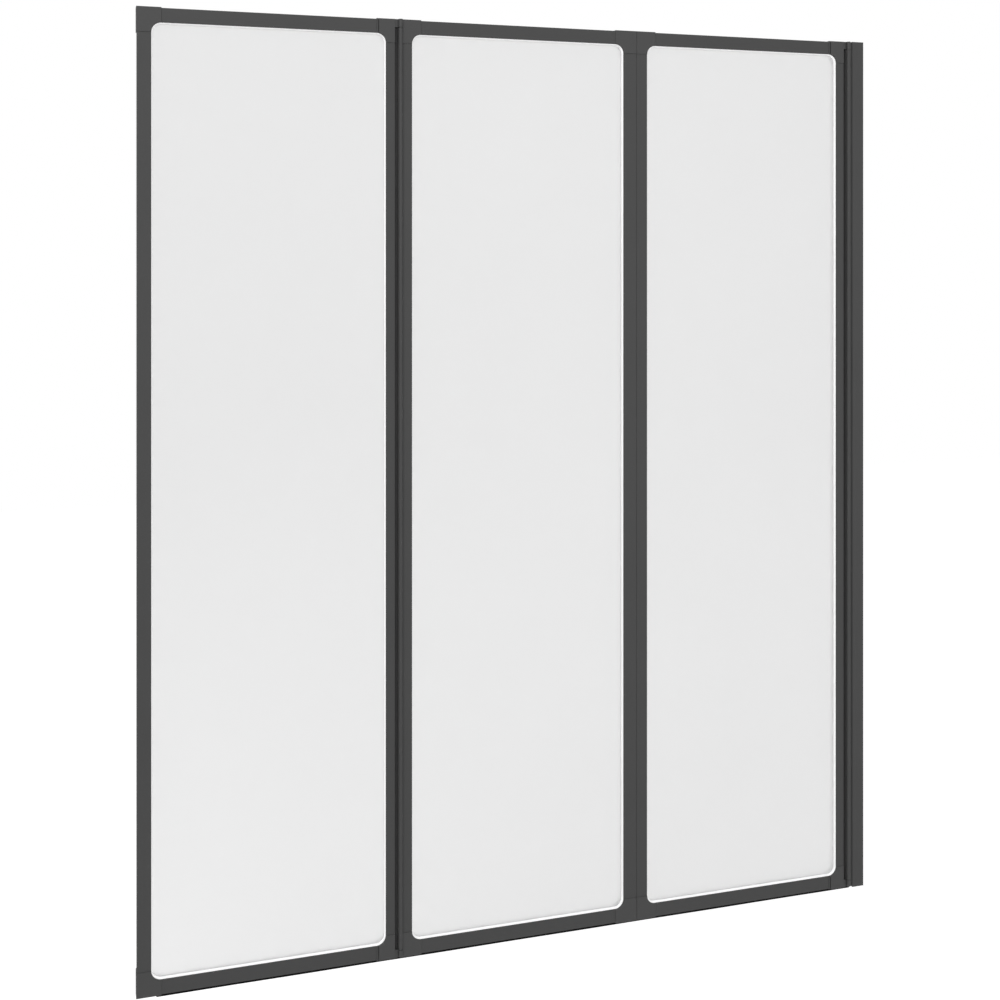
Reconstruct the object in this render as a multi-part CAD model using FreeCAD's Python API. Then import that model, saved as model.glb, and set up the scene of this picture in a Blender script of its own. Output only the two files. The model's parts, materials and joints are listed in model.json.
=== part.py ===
"""Folding shower screen for a bath rim, with three framed panes that fold in a Z against the wall.

The screen hangs on a wall channel. Its inner panel turns on a post that slides in the channel, the
middle panel turns on the inner one and the outer panel on the middle one. Millimetres, +Z up. The
wall is the plane x = 0, the screen stretches to -X, the side that the user sees is -Y, and z = 0 is
the middle of the frame's height.
"""
import FreeCAD
import Part
import math
import os

Vector = FreeCAD.Vector
half_turn = 180

# Widths along the screen, from the free end to the wall
opening_width = 339.3
middle_opening_width = 341.7
free_stile_width = 19.7
plain_stile_width = 17.9
barrel_stile_width = 21.8
seam_gap = 0.2
post_neck_width = 11.2
channel_width = 20.9

# Heights
frame_height = 1400.0
rail_height = 20.7
corner_leg = 14.0
corner_proud = 1.0
wall_rise = 0.3
wall_drop = 1.2

# Section of the aluminium profiles
profile_depth = 16.0
profile_wall = 1.4
profile_chamfer = 0.3
slot_flange = 2.0
notch_width = 4.5
notch_depth = 5.0

# Glass and its gasket
glass_thickness = 4.0
glass_bite = 8.0
glass_corner_cut = 3.0
gasket_floor = 1.3
gasket_lip = 1.6
gasket_corner_cut = 4.0
slot_floor_gap = 0.3

# Moulded corners
corner_chamfer = 0.45
spigot_length = 30.0
spigot_gap = 0.15
spigot_lead_in = 1.0
ear_groove_place = 11.6
ear_groove_width = 1.5
ear_groove_depth = 2.0

# Hinges
fold_gap = 1.5
barrel_radius = 3.25
barrel_inset = 3.8
ear_height = 12.0
ear_cap = 1.5
ear_lift = 2.0
ear_recess = 1.2
ear_clearance = 0.35
arm_back = 3.15
pin_radius = 1.5
pin_grip = 28.0
pin_end_gap = 0.3
pin_play = 0.05
bush_wall = 0.75
bush_flange = 0.8
bush_flange_radius = 2.8
axial_play = 0.3
press_gap = 0.02

# Soft strips in the hinge grooves
strip_thickness = 1.6
strip_bead = 0.8
strip_side_gap = 0.3

# Soft seal under each panel
seal_drop = 4.1
seal_plate = 1.4
seal_fin_root = 1.6
seal_fin_tip = 0.8
seal_side_gap = 0.7
seal_neck_width = 2.0
seal_foot_width = 4.4
seal_foot_height = 1.6
seal_slot_gap = 0.15
seal_free_start = 27.0
seal_tail_length = 7.5
seal_tail_gap = 0.4

# Sides of the screws, which are small and many, and of the bushes, which are keyed in the ears
small_sides = 6

# Screws that hold the corners to the rails
screw_radius = 1.5
screw_head_radius = 2.8
screw_crown_radius = 2.2
screw_head_height = 1.1
screw_length = 9.0
screw_hole_gap = 0.15

# Wall channel, its caps and its screws
channel_wall = 1.4
channel_web = 1.6
post_slide_gap = 0.1
tongue_gap = 6.0
channel_cap_top = 2.0
channel_cap_bottom = 5.0
cap_gap = 0.4
plug_length = 8.0
post_cap_top = 1.5
post_cap_bottom = 2.0
post_cap_side_gap = 1.0
wall_hole_radius = 2.5
wall_hole_spacing = 420.0
wall_hole_count = 4
clamp_spacing = 500.0
clamp_count = 3
clamp_radius = 1.5
clamp_head_radius = 2.9
clamp_length = 7.0

# Cuts run this far past the faces that they open
overrun = 1.0

# Places that follow from the sizes above
half_frame = frame_height / 2
rail_outer = half_frame - corner_proud
opening_half = rail_outer - rail_height
joint_height = opening_half - corner_leg
half_depth = profile_depth / 2
corner_half_depth = half_depth + corner_proud
slot_half = half_depth - slot_flange
slot_depth = glass_bite + gasket_floor + slot_floor_gap
chamber_half = half_depth - profile_wall
axis_depth = corner_half_depth + fold_gap / 2
ear_low = half_frame - ear_height
barrel_end = ear_low - bush_flange - axial_play
bush_radius = pin_radius + pin_play + bush_wall
relief_radius = barrel_radius + ear_clearance
seal_half_width = axis_depth - barrel_radius - seal_side_gap
channel_half_depth = half_depth + post_slide_gap + channel_wall
ear_hole_end = half_frame - ear_lift - ear_cap
arm_face = corner_half_depth - ear_recess

post_face = -(channel_width + post_neck_width)
inner_right = post_face - seam_gap
inner_left = inner_right - 2 * plain_stile_width - opening_width
middle_right = inner_left - seam_gap
middle_left = middle_right - 2 * barrel_stile_width - middle_opening_width
outer_right = middle_left - seam_gap
outer_left = outer_right - plain_stile_width - opening_width - free_stile_width

nodes = {}


def block(x0, x1, y0, y1, z0, z1):
    """A box between two corners."""
    return Part.makeBox(x1 - x0, y1 - y0, z1 - z0, Vector(x0, y0, z0))


def rod(x, y, z0, z1, radius):
    """An upright cylinder."""
    return Part.makeCylinder(radius, z1 - z0, Vector(x, y, z0))


def chamfered(a0, a1, b0, b1, cut):
    """The outline of a rectangle with its four corners cut."""
    return [
        (a0 + cut, b0),
        (a1 - cut, b0),
        (a1, b0 + cut),
        (a1, b1 - cut),
        (a1 - cut, b1),
        (a0 + cut, b1),
        (a0, b1 - cut),
        (a0, b0 + cut),
    ]


def upright(outline, z0, z1):
    """An outline in X and Y drawn up from z0 to z1."""
    points = [Vector(x, y, z0) for x, y in outline]
    face = Part.Face(Part.makePolygon(points + points[:1]))
    return face.extrude(Vector(0, 0, z1 - z0))


def lengthwise(outline, x0, x1):
    """An outline in Y and Z drawn along X from x0 to x1."""
    points = [Vector(x0, y, z) for y, z in outline]
    face = Part.Face(Part.makePolygon(points + points[:1]))
    return face.extrude(Vector(x1 - x0, 0, 0))


def crosswise(outline, y0, y1):
    """An outline in X and Z drawn through the screen's thickness from y0 to y1."""
    points = [Vector(x, y0, z) for x, z in outline]
    face = Part.Face(Part.makePolygon(points + points[:1]))
    return face.extrude(Vector(0, y1 - y0, 0))


def polygon(u, v, radius):
    """The outline of a screw or a bush round a point, seen from its end."""
    step = 2 * math.pi / small_sides
    return [
        (u + radius * math.cos(side * step), v + radius * math.sin(side * step))
        for side in range(small_sides)
    ]


def tapered(x, z, y0, radius0, y1, radius1):
    """A screw head along Y, or a hole for it, from one radius to another."""
    rings = []
    for y, radius in ((y0, radius0), (y1, radius1)):
        points = [Vector(u, y, v) for u, v in polygon(x, z, radius)]
        rings.append(Part.makePolygon(points + points[:1]))
    return Part.makeLoft(rings, True, True)


def mirrored(shape):
    """The same piece upside down, for the other end of the screen."""
    return shape.mirror(Vector(0, 0, 0), Vector(0, 0, 1))


def placed(shape, face_x, turned):
    """A piece moved from its own frame, where x = 0 is the seam face, to its end of a panel."""
    moved = shape.copy()
    if turned:
        moved.rotate(Vector(0, 0, 0), Vector(0, 0, 1), half_turn)
    moved.translate(Vector(face_x, 0, 0))
    return moved


def add(name, *shapes):
    """Keeps one piece, or one group of like pieces, under its name."""
    nodes[name] = shapes[0] if len(shapes) == 1 else Part.makeCompound(list(shapes))


# Stiles, each in a frame of its own with the seam face at x = 0 and the pane towards +X


def chamber(width, y0, y1):
    """The corners, in X and Y, of the hollow beside the glass slot."""
    return profile_wall, width - slot_depth - profile_wall, y0, y1


def stile_body(width, hollow):
    """A stile's box section with its glass slot and its hollow."""
    outline = chamfered(0, width, -half_depth, half_depth, profile_chamfer)
    body = upright(outline, -joint_height, joint_height)
    low = -joint_height - overrun
    high = joint_height + overrun
    slot = block(width - slot_depth, width + overrun, -slot_half, slot_half, low, high)
    return body.cut([slot, block(*hollow, low, high)])


def free_stile():
    """The stile at the open end of the screen."""
    return stile_body(free_stile_width, free_hollow)


def plain_stile():
    """The stile that carries no barrel, with the groove for the hinge strip on its +Y side."""
    high = joint_height + overrun
    groove = block(-overrun, notch_width, half_depth - notch_depth, axis_depth, -high, high)
    return stile_body(plain_stile_width, plain_hollow).cut(groove)


def barrel(end):
    """A hinge barrel and its bore, on the -Y side of a piece whose seam face is at x = 0."""
    tube = rod(barrel_inset, -axis_depth, -end, end, barrel_radius)
    bore = rod(barrel_inset, -axis_depth, -end - overrun, end + overrun, pin_radius + press_gap)
    return tube, bore


def barrel_stile():
    """The stile with the hinge barrel, which runs on past the stile's ends to the ears."""
    tube, bore = barrel(barrel_end)
    return stile_body(barrel_stile_width, barrel_hollow).fuse(tube).cut(bore).removeSplitter()


free_hollow = chamber(free_stile_width, -chamber_half, chamber_half)
plain_hollow = chamber(plain_stile_width, -chamber_half, chamber_half - notch_depth)
barrel_hollow = chamber(barrel_stile_width, relief_radius - axis_depth, chamber_half)

stile_kinds = {
    "free": (free_stile_width, free_hollow, free_stile),
    "plain": (plain_stile_width, plain_hollow, plain_stile),
    "barrel": (barrel_stile_width, barrel_hollow, barrel_stile),
}

# Rails


def rail_chamber():
    """The heights between which a rail is hollow."""
    return opening_half + slot_depth + profile_wall, rail_outer - profile_wall


def screw_height():
    """The height of a corner screw, in the solid part of the spigot."""
    low, high = rail_chamber()
    return (low + high - seal_foot_height) / 2


def rail(x0, x1):
    """A top rail, from one corner's end to the other's, with holes for the corner screws."""
    outline = chamfered(-half_depth, half_depth, opening_half, rail_outer, profile_chamfer)
    body = lengthwise(outline, x0, x1)
    left = x0 - overrun
    right = x1 + overrun
    low, high = rail_chamber()
    slot_low = opening_half - overrun
    slot = block(left, right, -slot_half, slot_half, slot_low, opening_half + slot_depth)
    hollow = block(left, right, -chamber_half, chamber_half, low, high)
    cuts = [slot, hollow]
    radius = screw_radius + screw_hole_gap
    for x in (x0 + spigot_length / 2, x1 - spigot_length / 2):
        outline = polygon(x, screw_height(), radius)
        cuts.append(crosswise(outline, 0, half_depth + overrun))
    return body.cut(cuts)


def bottom_rail(x0, x1):
    """A bottom rail: a top rail upside down, slotted for the seal's neck."""
    half = seal_neck_width / 2 + seal_slot_gap
    slot = block(x0 - overrun, x1 + overrun, -half, half, rail_outer - 2 * profile_wall, half_frame)
    return mirrored(rail(x0, x1).cut(slot))


# Corners, in the same frames as the stiles


def corner_outline(outer_x, width):
    """The face of a top corner, an L whose inner side is a quarter round."""
    end_x = width + corner_leg
    reach = corner_leg * math.sqrt(0.5)
    middle = Vector(end_x - reach, -corner_half_depth, joint_height + reach)
    top_left = Vector(outer_x, -corner_half_depth, half_frame)
    top_right = Vector(end_x, -corner_half_depth, half_frame)
    arc_start = Vector(end_x, -corner_half_depth, opening_half)
    arc_end = Vector(width, -corner_half_depth, joint_height)
    low_left = Vector(outer_x, -corner_half_depth, joint_height)
    edges = [
        Part.makeLine(low_left, top_left),
        Part.makeLine(top_left, top_right),
        Part.makeLine(top_right, arc_start),
        Part.Arc(arc_start, middle, arc_end).toShape(),
        Part.makeLine(arc_end, low_left),
    ]
    return Part.Face(Part.Wire(edges))


def on_both_faces(shape):
    """The edges that run round the front face and round the back face of a corner."""
    return [edge for edge in shape.Edges if edge.BoundBox.YLength < edge.Length / 2]


def lead_in(spigot, pick):
    """A spigot with its far end's edges cut, for an easy start in the profile."""
    ends = [edge for edge in spigot.Edges if pick(edge.BoundBox)]
    return spigot.makeChamfer(spigot_lead_in, ends)


def stile_spigot(hollow):
    """The tongue that fills the end of a stile's hollow."""
    x0, x1, y0, y1 = hollow
    foot = joint_height - spigot_length
    spigot = block(
        x0 + spigot_gap,
        x1 - spigot_gap,
        y0 + spigot_gap,
        y1 - spigot_gap,
        foot,
        joint_height + overrun,
    )
    return lead_in(spigot, lambda box: box.ZMax < foot + spigot_lead_in)


def rail_spigot(end_x):
    """The tongue that fills the end of a rail's hollow, with a groove for the seal's foot."""
    low, high = rail_chamber()
    half = chamber_half - spigot_gap
    far = end_x + spigot_length
    spigot = block(end_x - overrun, far, -half, half, low + spigot_gap, high - spigot_gap)
    spigot = lead_in(spigot, lambda box: box.XMin > far - spigot_lead_in)
    half_groove = seal_foot_width / 2 + seal_slot_gap
    groove_low = high - seal_foot_height - seal_slot_gap
    groove = block(end_x, far + overrun, -half_groove, half_groove, groove_low, half_frame)
    return spigot.cut(groove)


def ear(top):
    """The hinge ear of a corner on a plain stile: an arm and an eye round the hinge axis."""
    eye_x = -(seam_gap + barrel_inset)
    eye = rod(eye_x, axis_depth, ear_low, top, barrel_radius)
    arm = block(eye_x, notch_width, axis_depth - arm_back, arm_face, ear_low, top)
    outline = polygon(eye_x, axis_depth, bush_radius + press_gap)
    hole = upright(outline, ear_low - overrun, ear_hole_end)
    return eye.fuse(arm), hole


def ear_side_groove(width):
    """The upright groove that shows on the ear side of a corner, near the rail."""
    middle = width + ear_groove_place
    half = ear_groove_width / 2
    floor = corner_half_depth - ear_groove_depth
    open_y = corner_half_depth + overrun
    open_z = half_frame + overrun
    return block(middle - half, middle + half, floor, open_y, opening_half - overrun, open_z)


def corner(kind, back, with_seal):
    """A top corner. back is the side of its own frame, +1 or -1 along Y, that is the screen's back."""
    width, hollow, _ = stile_kinds[kind]
    outer_x = -corner_proud if kind == "free" else 0
    end_x = width + corner_leg
    shape = corner_outline(outer_x, width).extrude(Vector(0, 2 * corner_half_depth, 0))
    shape = shape.makeChamfer(corner_chamfer, on_both_faces(shape))
    slot_low = joint_height - overrun
    slot_high = opening_half + slot_depth
    slot = block(width - slot_depth, end_x + overrun, -slot_half, slot_half, slot_low, slot_high)
    shape = shape.cut(slot).fuse([stile_spigot(hollow), rail_spigot(end_x)])
    screw_x = end_x + spigot_length / 2
    hole_end = back * (half_depth - screw_length - overrun)
    hole_start = back * (half_depth + overrun)
    outline = polygon(screw_x, screw_height(), screw_radius + press_gap)
    cuts = [crosswise(outline, hole_end, hole_start)]
    if kind == "plain":
        groove_y = half_depth - notch_depth
        groove_end = axis_depth + overrun
        open_z = half_frame + overrun
        cuts.append(
            block(-overrun, notch_width, groove_y, groove_end, joint_height - overrun, ear_low)
        )
        cuts.append(block(-overrun, notch_width, arm_face, groove_end, ear_low, open_z))
        cuts.append(ear_side_groove(width))
    if kind == "barrel":
        low = joint_height - overrun
        high = half_frame + overrun
        cuts.append(rod(barrel_inset, -axis_depth, low, high, relief_radius))
        arm_relief = -axis_depth + arm_back + ear_clearance
        ear_zone = ear_low - ear_clearance
        cuts.append(block(-overrun, barrel_inset, -axis_depth, arm_relief, ear_zone, high))
    if with_seal:
        start_x = seal_free_start if kind == "free" else -overrun
        half = seal_half_width + seal_slot_gap
        cuts.append(
            block(start_x, end_x + overrun, -half, half, rail_outer, half_frame + overrun)
        )
    shape = shape.cut(cuts)
    if kind == "plain":
        solid, hole = ear(half_frame - ear_lift if with_seal else half_frame)
        shape = shape.fuse(solid).cut(hole)
    return shape.removeSplitter()


# Small parts of a panel


def corner_screw(x, z):
    """A pan-head screw that enters from the back."""
    tip = half_depth - screw_length
    crown = half_depth + screw_head_height
    shank = crosswise(polygon(x, z, screw_radius), tip, half_depth)
    head = tapered(x, z, half_depth, screw_head_radius, crown, screw_crown_radius)
    return shank.fuse(head)


def gasket(x0, x1, pane):
    """The clear gasket round a pane, with a lip that shows inside the frame's opening."""
    reach = glass_bite + gasket_floor
    half_height = opening_half + reach
    outline = chamfered(x0 - reach, x1 + reach, -half_height, half_height, gasket_corner_cut)
    ring = crosswise(outline, -slot_half, slot_half)
    side = slot_half + overrun
    lip_z = opening_half - gasket_lip
    window = block(x0 + gasket_lip, x1 - gasket_lip, -side, side, -lip_z, lip_z)
    thickness_edges = [edge for edge in window.Edges if edge.BoundBox.YLength > side]
    window = window.makeFillet(corner_leg - gasket_lip, thickness_edges)
    return ring.cut([window, pane])


def bottom_seal(x0, x1, rail_x0, rail_x1, tail_x1):
    """The soft seal: a plate with two fins, held by a foot that snaps into the rail.

    From x1 to tail_x1 it runs on under the hinge post, with its top cut away.
    """
    half = seal_half_width
    top = -rail_outer
    plate_low = top - seal_plate
    tip = top - seal_drop
    fins = [
        (-half, top),
        (half, top),
        (half, tip),
        (half - seal_fin_tip, tip),
        (half - seal_fin_root, plate_low),
        (-half + seal_fin_root, plate_low),
        (-half + seal_fin_tip, tip),
        (-half, tip),
    ]
    foot_low = top + profile_wall
    foot_high = foot_low + seal_foot_height
    half_foot = seal_foot_width / 2
    half_neck = seal_neck_width / 2
    foot = [
        (-half_neck, plate_low),
        (half_neck, plate_low),
        (half_neck, foot_low),
        (half_foot, foot_low),
        (half_neck, foot_high),
        (-half_neck, foot_high),
        (-half_foot, foot_low),
        (-half_neck, foot_low),
    ]
    body = lengthwise(fins, x0, tail_x1)
    tail_top = -half_frame - seal_tail_gap
    body = body.cut(block(x1, tail_x1 + overrun, -half_depth, half_depth, tail_top, 0))
    return body.fuse(lengthwise(foot, rail_x0, rail_x1)).removeSplitter()


def groove_strip():
    """The soft strip on the floor of a hinge groove, in a plain stile's own frame."""
    floor = half_depth - notch_depth
    top = floor + strip_thickness
    middle = (strip_side_gap + notch_width) / 2
    outline = [
        (strip_side_gap, floor),
        (notch_width, floor),
        (notch_width, top),
        (middle + strip_bead, top),
        (middle, top + strip_bead),
        (middle - strip_bead, top),
        (strip_side_gap, top),
    ]
    end = ear_low - axial_play
    return upright(outline, -end, end)


# Whole panels


def panel(name, left_kind, right_kind, left_x, right_x):
    """One framed pane: glass, gasket, stiles, rails, corners, screws and seal."""
    opening_x0 = left_x + stile_kinds[left_kind][0]
    opening_x1 = right_x - stile_kinds[right_kind][0]
    rail_x0 = opening_x0 + corner_leg
    rail_x1 = opening_x1 - corner_leg
    pane_x0 = opening_x0 - glass_bite
    pane_x1 = opening_x1 + glass_bite
    pane_z = opening_half + glass_bite
    outline = chamfered(pane_x0, pane_x1, -pane_z, pane_z, glass_corner_cut)
    pane = crosswise(outline, -glass_thickness / 2, glass_thickness / 2)
    add(name + "_glass", pane)
    add(name + "_gasket", gasket(opening_x0, opening_x1, pane))
    add(name + "_top_rail", rail(rail_x0, rail_x1))
    add(name + "_bottom_rail", bottom_rail(rail_x0, rail_x1))
    sides = (("left", left_kind, left_x, False), ("right", right_kind, right_x, True))
    for side, kind, face_x, turned in sides:
        back = -1 if turned else 1
        add(name + "_" + side + "_stile", placed(stile_kinds[kind][2](), face_x, turned))
        top = placed(corner(kind, back, False), face_x, turned)
        bottom = placed(mirrored(corner(kind, back, True)), face_x, turned)
        add(name + "_top_" + side + "_corner", top)
        add(name + "_bottom_" + side + "_corner", bottom)
    screws = [
        corner_screw(x, z)
        for x in (rail_x0 + spigot_length / 2, rail_x1 - spigot_length / 2)
        for z in (-screw_height(), screw_height())
    ]
    add(name + "_corner_screws", *screws)
    seal_x0 = left_x + seal_free_start if left_kind == "free" else left_x
    tail_x1 = right_x + seal_tail_length if right_x == inner_right else right_x
    add(name + "_bottom_seal", bottom_seal(seal_x0, right_x, rail_x0, rail_x1, tail_x1))


def hinge(name, axis_x, axis_y, strip_face, strip_turned):
    """The pins, flanged bushes and groove strip of one hinge."""
    pin_top = ear_hole_end - pin_end_gap
    pin = rod(axis_x, axis_y, barrel_end - pin_grip, pin_top, pin_radius)
    bush = upright(polygon(axis_x, axis_y, bush_radius), ear_low, pin_top)
    flange_outline = polygon(axis_x, axis_y, bush_flange_radius)
    flange = upright(flange_outline, ear_low - bush_flange, ear_low)
    bore = rod(axis_x, axis_y, 0, half_frame, pin_radius + pin_play)
    bush = bush.fuse(flange).cut(bore)
    add(name + "_hinge_pins", pin, mirrored(pin))
    add(name + "_hinge_bushes", bush, mirrored(bush))
    add(name + "_hinge_strip", placed(groove_strip(), strip_face, strip_turned))


# Wall side


def hinge_post():
    """The hollow post that carries the wall hinge and slides in the wall channel."""
    length = post_neck_width + channel_width - channel_web - tongue_gap
    top = half_frame - post_cap_top
    bottom = -half_frame + post_cap_bottom
    outline = chamfered(0, length, -half_depth, half_depth, profile_chamfer)
    body = upright(outline, bottom, top)
    tube, bore = barrel(barrel_end)
    high = half_frame + overrun
    hollow = block(
        profile_wall, length - profile_wall, -chamber_half, chamber_half, -high, high
    )
    tongue_x = post_neck_width - post_cap_side_gap
    tongue_top = half_frame + wall_rise - channel_cap_top - cap_gap
    tongue_bottom = -half_frame - wall_drop + channel_cap_bottom + cap_gap
    side = half_depth + overrun
    cuts = [
        hollow,
        bore,
        block(tongue_x, length + overrun, -side, side, tongue_top, high),
        block(tongue_x, length + overrun, -side, side, -high, tongue_bottom),
    ]
    cuts.extend(post_reliefs())
    for z in clamp_heights():
        outline = polygon(clamp_place(), z, clamp_radius + press_gap)
        cuts.append(crosswise(outline, 0, side))
    return body.fuse(tube).cut(cuts).removeSplitter()


def post_reliefs():
    """The cuts at the post's ends that leave room for the ears of the inner panel."""
    arm_relief = -axis_depth + arm_back + ear_clearance
    zone = ear_low - ear_clearance
    high = half_frame + overrun
    round_top = rod(barrel_inset, -axis_depth, barrel_end, high, relief_radius)
    arm_top = block(-overrun, barrel_inset, -axis_depth, arm_relief, zone, high)
    return [round_top, arm_top, mirrored(round_top), mirrored(arm_top)]


def post_cap(z0, z1, plug_z0, plug_z1):
    """A plate that closes one end of the post's neck, with a plug in the hollow."""
    width = post_neck_width - post_cap_side_gap
    plate = upright(chamfered(0, width, -half_depth, half_depth, profile_chamfer), z0, z1)
    inside = profile_wall + spigot_gap
    front = -axis_depth + relief_radius + spigot_gap
    plug = block(inside, width, front, chamber_half - spigot_gap, plug_z0, plug_z1)
    return plate.fuse(plug).cut(post_reliefs()).removeSplitter()


def clamp_heights():
    """The heights of the screws that lock the post in the channel."""
    middle = (clamp_count - 1) / 2
    return [(index - middle) * clamp_spacing for index in range(clamp_count)]


def clamp_place():
    """Where the clamp screws stand, from the post's seam face."""
    tongue = channel_width - channel_web - tongue_gap
    return post_neck_width + tongue / 2


def clamp_screw(z, extra):
    """A countersunk screw through the channel's back flange, or its hole with a gap all round."""
    x = post_face + clamp_place()
    inner = channel_half_depth - channel_wall
    small = clamp_radius + extra
    large = clamp_head_radius + extra
    shank = crosswise(polygon(x, z, small), channel_half_depth - clamp_length, inner)
    head = tapered(x, z, inner, small, channel_half_depth, large)
    return shank.fuse(head)


def wall_channel():
    """The channel that is screwed to the wall and takes the post."""
    bottom = -half_frame - wall_drop + channel_cap_bottom
    top = half_frame + wall_rise - channel_cap_top
    side = channel_half_depth
    body = upright(chamfered(-channel_width, 0, -side, side, profile_chamfer), bottom, top)
    inner = side - channel_wall
    mouth = -channel_width - overrun
    hollow = block(mouth, -channel_web, -inner, inner, bottom - overrun, top + overrun)
    cuts = [hollow]
    for index in range(wall_hole_count):
        z = (index - (wall_hole_count - 1) / 2) * wall_hole_spacing
        start = Vector(-channel_web - overrun, 0, z)
        reach = channel_web + 2 * overrun
        cuts.append(Part.makeCylinder(wall_hole_radius, reach, start, Vector(1, 0, 0)))
    cuts.extend(clamp_screw(z, press_gap) for z in clamp_heights())
    return body.cut(cuts)


def channel_cap(z0, z1, plug_z0, plug_z1):
    """A plate that closes one end of the channel, with a plug between the web and the post."""
    side = channel_half_depth
    plate = upright(chamfered(-channel_width, 0, -side, side, profile_chamfer), z0, z1)
    plug_x0 = -channel_web - tongue_gap + spigot_gap
    plug_x1 = -channel_web - spigot_gap
    plug_half = side - channel_wall - spigot_gap
    plug = block(plug_x0, plug_x1, -plug_half, plug_half, plug_z0, plug_z1)
    return plate.fuse(plug).removeSplitter()


def wall_side():
    """Everything that stays with the wall when the screen folds."""
    bottom = -half_frame - wall_drop
    top = half_frame + wall_rise
    add("wall_channel", wall_channel())
    add("hinge_post", placed(hinge_post(), post_face, False))
    cap_low = top - channel_cap_top
    add("channel_top_cap", channel_cap(cap_low, top, cap_low - plug_length, cap_low))
    cap_high = bottom + channel_cap_bottom
    add("channel_bottom_cap", channel_cap(bottom, cap_high, cap_high, cap_high + plug_length))
    plate_low = half_frame - post_cap_top
    cap = post_cap(plate_low, half_frame, plate_low - plug_length, plate_low)
    add("post_top_cap", placed(cap, post_face, False))
    plate_high = -half_frame + post_cap_bottom
    cap = post_cap(-half_frame, plate_high, plate_high, plate_high + plug_length)
    add("post_bottom_cap", placed(cap, post_face, False))
    add("clamp_screws", *[clamp_screw(z, 0) for z in clamp_heights()])


wall_side()
panel("inner", "plain", "plain", inner_left, inner_right)
panel("middle", "barrel", "barrel", middle_left, middle_right)
panel("outer", "free", "plain", outer_left, outer_right)
hinge("wall", post_face + barrel_inset, -axis_depth, inner_right, True)
hinge("middle", middle_right - barrel_inset, axis_depth, inner_left, False)
hinge("outer", middle_left + barrel_inset, -axis_depth, outer_right, True)

os.makedirs("parts", exist_ok=True)
for name, shape in nodes.items():
    shape.exportStep("parts/" + name + ".step")
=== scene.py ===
"""Folding shower screen: materials, soft parts, screws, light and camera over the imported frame.

Metres, +Z up. The wall is the plane x = 0, the screen stretches to -X and is seen from -Y.
"""
import json
import math

import bmesh
import bpy
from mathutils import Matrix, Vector

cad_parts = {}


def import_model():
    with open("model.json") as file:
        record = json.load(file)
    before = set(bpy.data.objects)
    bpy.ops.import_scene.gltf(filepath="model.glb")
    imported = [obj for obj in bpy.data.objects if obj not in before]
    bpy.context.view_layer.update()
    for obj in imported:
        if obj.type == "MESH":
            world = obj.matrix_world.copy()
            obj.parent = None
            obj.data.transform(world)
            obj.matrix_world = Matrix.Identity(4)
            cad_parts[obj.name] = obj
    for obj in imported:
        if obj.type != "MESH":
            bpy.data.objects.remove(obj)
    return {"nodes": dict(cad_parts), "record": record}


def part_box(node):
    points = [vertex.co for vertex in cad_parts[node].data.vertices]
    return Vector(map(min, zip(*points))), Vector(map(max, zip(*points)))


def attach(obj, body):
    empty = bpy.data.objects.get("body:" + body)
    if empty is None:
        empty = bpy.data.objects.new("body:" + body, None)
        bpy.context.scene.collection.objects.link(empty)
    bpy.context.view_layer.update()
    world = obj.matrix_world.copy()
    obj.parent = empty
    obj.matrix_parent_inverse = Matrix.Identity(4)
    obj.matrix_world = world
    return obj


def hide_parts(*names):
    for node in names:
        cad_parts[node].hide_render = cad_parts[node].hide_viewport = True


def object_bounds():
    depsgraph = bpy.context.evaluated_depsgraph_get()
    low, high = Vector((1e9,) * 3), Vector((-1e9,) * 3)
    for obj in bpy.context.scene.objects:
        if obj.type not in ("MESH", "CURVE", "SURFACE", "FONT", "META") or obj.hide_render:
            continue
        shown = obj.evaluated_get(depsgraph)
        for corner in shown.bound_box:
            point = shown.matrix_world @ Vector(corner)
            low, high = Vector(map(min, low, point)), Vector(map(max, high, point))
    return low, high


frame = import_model()
cad_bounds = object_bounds()
nodes = frame["nodes"]
mm = 0.001

# Camera, fitted to the edge lines of the photograph
photo_size = 1000
focal_pixels = 1387.2
horizon_pixel = 247.65
camera_yaw = math.radians(17.555)
camera_place = Vector((-1.2718, -2.0266, 0.3591))
sensor_width = 36

# Floor. The screen's lower edge stands on a bath rim, this high above it
rim_height = 0.56
floor_size = 14
floor_grey = 0.8
floor_roughness = 0.9
floor_glow = 0.62

# Light on the object. The world is white to the camera, whatever these are
white = (1, 1, 1, 1)
world_light = 0.5
key_power = 62
key_size = 2.2
key_place = Vector((-2.4, -2.6, 2.3))
fill_power = 12.5
fill_size = 2.0
fill_place = Vector((0.6, -2.6, 0.4))

# Materials. Most of a noise's values lie between its low and its high
noise_low = 0.3
noise_high = 0.7
cloud_detail = 3
grain_detail = 2
bump_strength = 0.6
plain_specular = 0.5
glass_transmission = 0.9
glass_index = 1.45
# A faint painted glow on the gaskets: emission that lights their shaded lips, though they are no
# lamps
gasket_painted_glow = 0.28

# New meshes. Edges that turn by more than this stay sharp
sharp_edge = math.radians(32)
corner_steps = 10

# Gaskets, whose lips show inside the openings and slope towards the panes
gasket_lip = 1.6 * mm
gasket_slope = 0.5 * mm
gasket_bead = 0.5 * mm
gasket_bead_steps = 4
gasket_play = 0.05 * mm
gasket_window_radius = 12.4 * mm
gasket_outer_radius = 4.0 * mm
glass_corner_radius = 3.0 * mm

# Bottom seals, with two fins under a plate
seal_stations = 60
seal_plate = 1.4 * mm
seal_tail_plate = 0.6 * mm
seal_step = 0.2 * mm
fin_root = 1.7 * mm
fin_tip = 0.9 * mm
fin_tip_steps = 6
fin_flex = 0.18 * mm
fin_wave = 110 * mm

# Strips in the hinge grooves
strip_bead_radius = 0.9 * mm
strip_bead_steps = 8
strip_stations = 24

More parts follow.
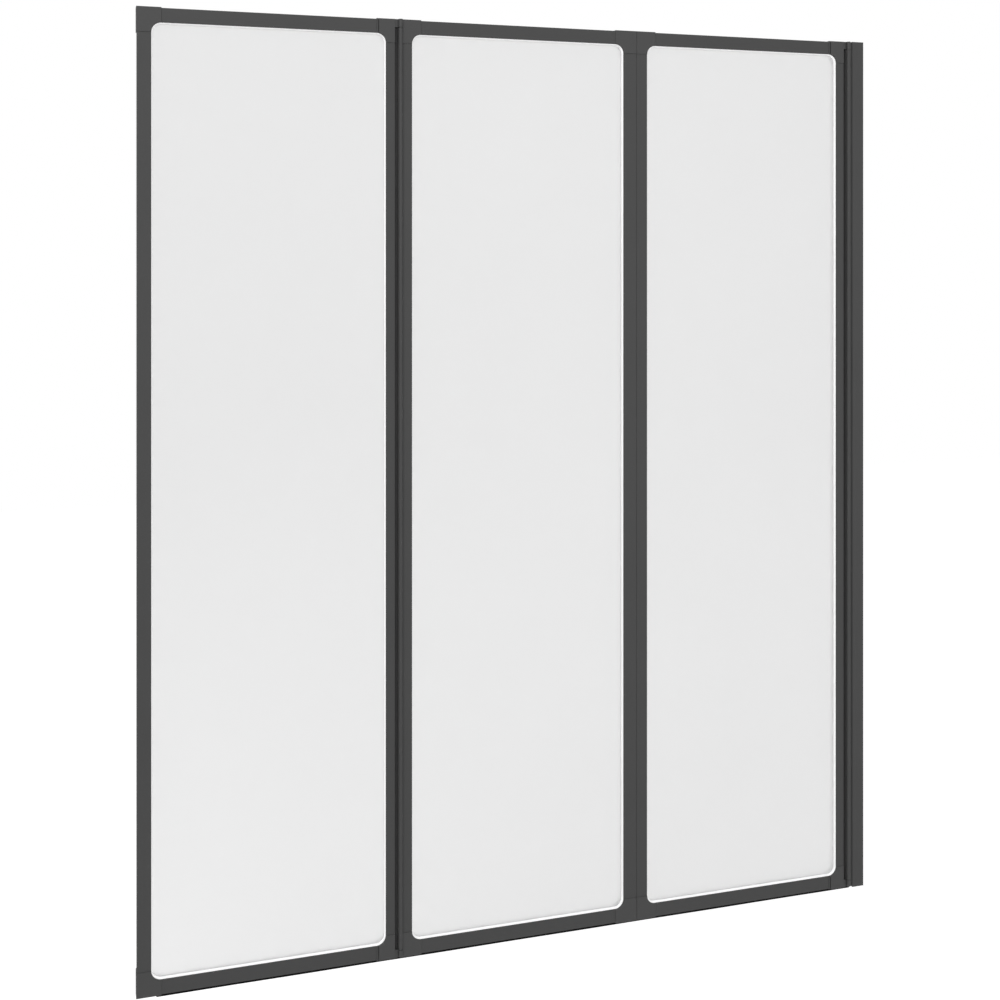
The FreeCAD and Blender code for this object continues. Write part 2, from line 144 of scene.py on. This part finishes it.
# Screws. The heads are outlines in millimetres: height over the seat, and radius
screw_points = 64
screw_reach = 20 * mm
point_radius = 0.7 * mm
shank_radius = 1.35 * mm
pan_point = 0.8 * mm
pan_head = (
    (-0.3, 1.35),
    (0, 1.5),
    (0, 2.75),
    (0.35, 2.78),
    (0.75, 2.55),
    (1.0, 2.1),
    (1.1, 1.6),
)
countersunk_point = 0.7 * mm
countersunk_head = (
    (0, 1.4),
    (1.25, 2.75),
    (1.4, 2.65),
)
recess_depth = 0.7 * mm
recess_arm = 1.45 * mm
recess_half_width = 0.36 * mm
recess_taper = 0.55


# Mesh helpers


def add(name, data):
    """A new object in the scene."""
    piece = bpy.data.objects.new(name, data)
    bpy.context.scene.collection.objects.link(piece)
    return piece


def piece_from(name, mesh):
    """A finished mesh as a new object, smooth but for its sharp edges."""
    data = bpy.data.meshes.new(name)
    mesh.to_mesh(data)
    mesh.free()
    data.set_sharp_from_angle(angle=sharp_edge)
    return add(name, data)


def skin(name, loops, wrap):
    """A closed mesh over equal loops: a ring of loops if wrap, else a bar with two end caps."""
    mesh = bmesh.new()
    rows = [[mesh.verts.new(point) for point in loop] for loop in loops]
    count = len(rows[0])
    pairs = list(zip(rows, rows[1:]))
    if wrap:
        pairs.append((rows[-1], rows[0]))
    for first, second in pairs:
        for index in range(count):
            after = (index + 1) % count
            mesh.faces.new((first[index], first[after], second[after], second[index]))
    if not wrap:
        mesh.faces.new(rows[0])
        mesh.faces.new(rows[-1])
    bmesh.ops.recalc_face_normals(mesh, faces=mesh.faces)
    for face in mesh.faces:
        face.smooth = True
    return piece_from(name, mesh)


def joined(name, pieces):
    """Several meshes as one piece."""
    mesh = bmesh.new()
    for piece in pieces:
        mesh.from_mesh(piece.data)
        bpy.data.objects.remove(piece)
    return piece_from(name, mesh)


def arc(centre, radius, start, end, steps):
    """Points along an arc, from one angle to another in degrees."""
    points = []
    for step in range(steps + 1):
        angle = math.radians(start + (end - start) * step / steps)
        points.append((centre[0] + radius * math.cos(angle), centre[1] + radius * math.sin(angle)))
    return points


def rounded_rectangle(x0, x1, z0, z1, radius, y):
    """A loop in the plane of the screen, with the same number of points for every radius."""
    centres = (
        (x1 - radius, z1 - radius, 0),
        (x0 + radius, z1 - radius, 90),
        (x0 + radius, z0 + radius, 180),
        (x1 - radius, z0 + radius, 270),
    )
    loop = []
    for x, z, start in centres:
        loop.extend(arc((x, z), radius, start, start + 90, corner_steps))
    return [Vector((x, y, z)) for x, z in loop]


# Materials


def noise(tree, coordinates, scale, detail):
    """A noise texture in object space. The scale is in features per metre."""
    texture = tree.nodes.new("ShaderNodeTexNoise")
    texture.inputs["Scale"].default_value = scale
    texture.inputs["Detail"].default_value = detail
    tree.links.new(coordinates, texture.inputs["Vector"])
    return texture.outputs["Fac"]


def mottle(tree, factor, dark, light):
    """Two greys mixed by a noise value."""
    mix = tree.nodes.new("ShaderNodeMix")
    mix.data_type = "RGBA"
    mix.inputs["A"].default_value = (dark, dark, dark, 1)
    mix.inputs["B"].default_value = (light, light, light, 1)
    tree.links.new(factor, mix.inputs["Factor"])
    return mix.outputs["Result"]


def spread(tree, factor, low, high):
    """A noise value stretched over a range of roughness."""
    span = tree.nodes.new("ShaderNodeMapRange")
    span.inputs["From Min"].default_value = noise_low
    span.inputs["From Max"].default_value = noise_high
    span.inputs["To Min"].default_value = low
    span.inputs["To Max"].default_value = high
    tree.links.new(factor, span.inputs["Value"])
    return span.outputs["Result"]


def surface(name, greys, cloud_scale, grain_scale, grain_depth, roughness, specular=plain_specular):
    """A material with a mottled grey, an uneven gloss and a fine grain, and its shader."""
    material = bpy.data.materials.new(name)
    material.use_nodes = True
    tree = material.node_tree
    shader = tree.nodes["Principled BSDF"]
    coordinates = tree.nodes.new("ShaderNodeTexCoord").outputs["Object"]
    cloud = noise(tree, coordinates, cloud_scale, cloud_detail)
    grain = noise(tree, coordinates, grain_scale, grain_detail)
    tree.links.new(mottle(tree, cloud, *greys), shader.inputs["Base Color"])
    tree.links.new(spread(tree, grain, *roughness), shader.inputs["Roughness"])
    bump = tree.nodes.new("ShaderNodeBump")
    bump.inputs["Distance"].default_value = grain_depth
    bump.inputs["Strength"].default_value = bump_strength
    tree.links.new(grain, bump.inputs["Height"])
    tree.links.new(bump.outputs["Normal"], shader.inputs["Normal"])
    shader.inputs["Specular IOR Level"].default_value = specular
    return material, shader


def powder_coat():
    """Matt black powder coat on the aluminium profiles, with its fine orange peel."""
    material, _ = surface(
        "black_powder_coat",
        greys=(0.046, 0.053),
        cloud_scale=9,
        grain_scale=1800,
        grain_depth=0.06 * mm,
        roughness=(0.52, 0.66),
        specular=0.35,
    )
    return material


def moulded_plastic():
    """The corners' and caps' matt black plastic, a little smoother than the coat."""
    material, _ = surface(
        "black_moulding",
        greys=(0.0465, 0.053),
        cloud_scale=40,
        grain_scale=3200,
        grain_depth=0.04 * mm,
        roughness=(0.45, 0.58),
        specular=0.35,
    )
    return material


def soft_rubber():
    """The soft black of the seals."""
    material, _ = surface(
        "black_soft",
        greys=(0.002, 0.004),
        cloud_scale=60,
        grain_scale=2400,
        grain_depth=0.05 * mm,
        roughness=(0.6, 0.75),
        specular=0.05,
    )
    return material


def strip_rubber():
    """The firmer dark grey of the strips in the hinge grooves."""
    material, _ = surface(
        "groove_strip_soft",
        greys=(0.05, 0.06),
        cloud_scale=60,
        grain_scale=2400,
        grain_depth=0.05 * mm,
        roughness=(0.6, 0.75),
        specular=0.2,
    )
    return material


def frosted_glass():
    """Glass with an etched face: even, pale and not clear, with a very faint cloud."""
    material, shader = surface(
        "frosted_glass",
        greys=(0.842, 0.857),
        cloud_scale=5,
        grain_scale=2600,
        grain_depth=0.02 * mm,
        roughness=(0.36, 0.44),
        specular=0.15,
    )
    shader.inputs["Transmission Weight"].default_value = glass_transmission
    shader.inputs["IOR"].default_value = glass_index
    return material


def clear_gasket():
    """The milky lip round each pane, with a painted glow: an emission that lights the lip, though
    it is no lamp, so it stays pale in its shaded recess.
    """
    material, shader = surface(
        "pale_gasket_with_painted_light",
        greys=(0.9, 0.93),
        cloud_scale=80,
        grain_scale=2000,
        grain_depth=0.02 * mm,
        roughness=(0.4, 0.5),
        specular=0.3,
    )
    # Painted light: a faint white emission makes the gasket glow and stands in for light on its
    # shaded lip
    shader.inputs["Emission Color"].default_value = white
    shader.inputs["Emission Strength"].default_value = gasket_painted_glow
    return material


def turned_steel():
    """Stainless steel with fine turning marks."""
    material, shader = surface(
        "turned_steel",
        greys=(0.5, 0.62),
        cloud_scale=300,
        grain_scale=6000,
        grain_depth=0.02 * mm,
        roughness=(0.25, 0.4),
    )
    shader.inputs["Metallic"].default_value = 1
    return material


def black_nylon():
    """The smooth black of the hinge bushes."""
    material, _ = surface(
        "black_nylon",
        greys=(0.027, 0.033),
        cloud_scale=200,
        grain_scale=3000,
        grain_depth=0.03 * mm,
        roughness=(0.4, 0.5),
    )
    return material


# Soft parts, which take the place of the plain solids


def gasket(panel):
    """A pane's gasket: a trough round the edge of the glass, with a rounded lip on both faces."""
    low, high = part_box(panel + "_gasket")
    pane_low, pane_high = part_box(panel + "_glass")
    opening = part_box(panel + "_left_stile")[1].x
    bed = pane_low.x - low.x
    reach = opening + gasket_lip - low.x
    seat = pane_high.y + gasket_play

    def ring(inward, radius, y):
        return rounded_rectangle(
            low.x + inward, high.x - inward, low.z + inward, high.z - inward, radius, y
        )

    def lip_ring(inward, y):
        return ring(inward, gasket_window_radius + reach - inward, y)

    crest = (reach - gasket_slope - gasket_bead, high.y - gasket_bead)
    bead = arc(crest, gasket_bead, 90, 0, gasket_bead_steps)
    half = [ring(0, gasket_outer_radius, high.y)]
    half += [lip_ring(inward, y) for inward, y in bead]
    half += [lip_ring(reach, seat), ring(bed, glass_corner_radius, seat)]
    back = [[Vector((p.x, -p.y, p.z)) for p in loop] for loop in reversed(half)]
    return skin(panel + "_soft_gasket", half + back, True)


def fin_side(side, top, tip_z, half, flex):
    """One fin of a seal, in Y and Z: the top of its outer face, its round tip, and its root's Y."""
    out = half * side + flex
    inner = (half - fin_tip) * side + flex
    centre = ((out + inner) / 2, tip_z + fin_tip / 2)
    tip = arc(centre, fin_tip / 2, 0, -180, fin_tip_steps)
    if side < 0:
        tip = tip[::-1]
    return (half * side, top), tip, (half - fin_root) * side


def seal(panel):
    """The soft seal under a panel: two fins that bend a little along their length.

    Past the stile, under the hinge post, only its lower part runs on.
    """
    low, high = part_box(panel + "_bottom_seal")
    end = min(high.x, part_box(panel + "_right_stile")[1].x)
    rail_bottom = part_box(panel + "_bottom_rail")[0].z
    plate = rail_bottom - seal_plate
    tail = plate - seal_tail_plate
    stations = []
    for station in range(seal_stations + 1):
        x = low.x + (end - low.x) * station / seal_stations
        stations.append((x, rail_bottom, plate))
    if high.x > end + seal_step:
        stations.append((end + seal_step, plate, tail))
        stations.append((high.x, plate, tail))
    half = high.y - fin_flex
    loops = []
    for x, top, underside in stations:
        flex = fin_flex * math.sin(x / fin_wave * math.pi)
        right_top, right_tip, right_root = fin_side(1, top, low.z, half, flex)
        left_top, left_tip, left_root = fin_side(-1, top, low.z, half, flex)
        outline = [left_top, right_top, *right_tip]
        outline += [(right_root, underside), (left_root, underside), *left_tip[::-1]]
        loops.append([Vector((x, y, z)) for y, z in outline])
    return skin(panel + "_soft_seal", loops, False)


def groove_strip(node):
    """The soft strip on the bed of a hinge groove, with a round bead along its middle."""
    low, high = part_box(node)
    faces_back = node.startswith("middle")
    bed, crest = (low.y, high.y) if faces_back else (high.y, low.y)
    sign = 1 if faces_back else -1
    shoulder = crest - sign * strip_bead_radius
    middle = (low.x + high.x) / 2
    bead = arc((middle, shoulder), strip_bead_radius, 0, 180 * sign, strip_bead_steps)
    outline = [(low.x, bed), (high.x, bed), (high.x, shoulder), *bead, (low.x, shoulder)]
    loops = []
    for station in range(strip_stations + 1):
        z = low.z + (high.z - low.z) * station / strip_stations
        loops.append([Vector((x, y, z)) for x, y in outline])
    return skin(node + "_soft", loops, False)


# Screws


def recess_radius(angle):
    """The outline of a cross recess, as a radius for each angle."""
    quarter = math.pi / 2
    local = abs((angle + quarter / 2) % quarter - quarter / 2)
    if math.tan(local) < recess_half_width / recess_arm:
        return recess_arm / math.cos(local)
    return recess_half_width / math.sin(local)


def screw(x, z, sections, crown):
    """A screw along Y, as circles of (y, radius), with a cross recess sunk in its crown."""
    angles = [2 * math.pi * step / screw_points for step in range(screw_points)]
    cross = [recess_radius(angle) for angle in angles]

    def loop(y, radii):
        pairs = zip(angles, radii)
        return [Vector((x + r * math.cos(a), y, z + r * math.sin(a))) for a, r in pairs]

    loops = [loop(y, [radius] * screw_points) for y, radius in sections]
    loops.append(loop(crown, cross))
    loops.append(loop(crown - recess_depth, [recess_taper * radius for radius in cross]))
    return skin("screw", loops, False)


def screw_centres(node):
    """The middle, in X and Z, of every screw in a node."""
    groups = []
    for point in [vertex.co.copy() for vertex in nodes[node].data.vertices]:
        near = [group for group in groups if (group[0] - point).length < screw_reach]
        if near:
            near[0].append(point)
        else:
            groups.append([point])
    centres = []
    for group in groups:
        xs = [point.x for point in group]
        zs = [point.z for point in group]
        centres.append(((min(xs) + max(xs)) / 2, (min(zs) + max(zs)) / 2))
    return centres


def screws(node, name, point_length, head):
    """All screws of a node as one piece, from their points to their heads."""
    low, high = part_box(node)
    head_height = head[-1][0] * mm
    seat = high.y - head_height
    sections = [(low.y, point_radius), (low.y + point_length, shank_radius)]
    sections += [(seat + height * mm, radius * mm) for height, radius in head]
    return joined(name, [screw(x, z, sections, high.y) for x, z in screw_centres(node)])


def corner_screws(panel):
    """The pan-head screws at the back of a panel."""
    return screws(panel + "_corner_screws", panel + "_pan_head_screws", pan_point, pan_head)


def clamp_screws():
    """The countersunk screws that lock the post in the channel."""
    return screws("clamp_screws", "countersunk_screws", countersunk_point, countersunk_head)


# Dressing


def dress(piece, material, body, node):
    """A new piece gets its material and slot, rides on its body and stands for its node."""
    piece.data.materials.append(material)
    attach(piece, body)
    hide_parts(node)


materials = {
    "black_frame": powder_coat(),
    "black_plastic": moulded_plastic(),
    "frosted_glass": frosted_glass(),
    "clear_gasket": clear_gasket(),
    "black_rubber": soft_rubber(),
    "stainless_steel": turned_steel(),
    "nylon": black_nylon(),
}
groove_material = strip_rubber()

for entry in frame["record"]["subparts"]:
    data = nodes[entry["node"]].data
    data.materials.clear()
    data.materials.append(materials[entry["material_slot"]])

panel_pieces = (
    (gasket, "_gasket", "clear_gasket"),
    (seal, "_bottom_seal", "black_rubber"),
    (corner_screws, "_corner_screws", "stainless_steel"),
)
for panel in ("inner", "middle", "outer"):
    for make, ending, slot in panel_pieces:
        dress(make(panel), materials[slot], panel + "_panel", panel + ending)

strip_bodies = {
    "wall_hinge_strip": "inner_panel",
    "middle_hinge_strip": "inner_panel",
    "outer_hinge_strip": "outer_panel",
}
for node, body in strip_bodies.items():
    dress(groove_strip(node), groove_material, body, node)

dress(clamp_screws(), materials["stainless_steel"], "wall_mount", "clamp_screws")


# Floor, light and camera


def ray_switch(tree):
    """1 for camera, glossy and transmission rays, which see the white backdrop, else 0."""
    path = tree.nodes.new("ShaderNodeLightPath")
    total = path.outputs["Is Camera Ray"]
    for name in ("Is Glossy Ray", "Is Transmission Ray"):
        both = tree.nodes.new("ShaderNodeMath")
        both.operation = "MAXIMUM"
        tree.links.new(total, both.inputs[0])
        tree.links.new(path.outputs[name], both.inputs[1])
        total = both.outputs[0]
    return total


def floor():
    """A plain pale floor below the bath's rim, with a glow that makes it white to the camera."""
    height = cad_bounds[0][2] - rim_height
    half = floor_size / 2
    mesh = bpy.data.meshes.new("floor")
    corners = [(-half, -half), (half, -half), (half, half), (-half, half)]
    mesh.from_pydata([(x, y, height) for x, y in corners], [], [(0, 1, 2, 3)])
    piece = add("floor", mesh)
    material = bpy.data.materials.new("pale_floor")
    material.use_nodes = True
    tree = material.node_tree
    shader = tree.nodes["Principled BSDF"]
    shader.inputs["Base Color"].default_value = (floor_grey, floor_grey, floor_grey, 1)
    shader.inputs["Roughness"].default_value = floor_roughness
    shader.inputs["Specular IOR Level"].default_value = 0
    shader.inputs["Emission Color"].default_value = white
    glow = tree.nodes.new("ShaderNodeMath")
    glow.operation = "MULTIPLY"
    glow.inputs[1].default_value = floor_glow
    tree.links.new(ray_switch(tree), glow.inputs[0])
    tree.links.new(glow.outputs[0], shader.inputs["Emission Strength"])
    mesh.materials.append(material)


def world():
    """White behind the object, and plain soft light on it."""
    sky = bpy.data.worlds.new("studio")
    bpy.context.scene.world = sky
    sky.use_nodes = True
    tree = sky.node_tree
    background = tree.nodes["Background"]
    background.inputs["Color"].default_value = white
    level = tree.nodes.new("ShaderNodeMapRange")
    level.inputs["To Min"].default_value = world_light
    level.inputs["To Max"].default_value = 1
    tree.links.new(ray_switch(tree), level.inputs["Value"])
    tree.links.new(level.outputs["Result"], background.inputs["Strength"])


def lamp(name, place, size, power):
    """A soft square lamp that points at the middle of the screen, unseen through the panes."""
    data = bpy.data.lights.new(name, "AREA")
    data.shape = "SQUARE"
    data.size = size
    data.energy = power
    piece = add(name, data)
    piece.visible_transmission = False
    middle = (Vector(cad_bounds[0]) + Vector(cad_bounds[1])) / 2
    piece.location = place
    piece.rotation_euler = (middle - place).to_track_quat("-Z", "Y").to_euler()


def camera():
    """A level camera, with the horizon where the photograph has it."""
    data = bpy.data.cameras.new("camera")
    data.sensor_width = sensor_width
    data.lens = focal_pixels / photo_size * sensor_width
    data.shift_y = (horizon_pixel - photo_size / 2) / photo_size
    piece = add("camera", data)
    piece.location = camera_place
    piece.rotation_euler = (math.radians(90), 0, -camera_yaw)
    bpy.context.scene.camera = piece


floor()
world()
lamp("key", key_place, key_size, key_power)
lamp("fill", fill_place, fill_size, fill_power)
camera()
bpy.context.scene.view_settings.view_transform = "Standard"
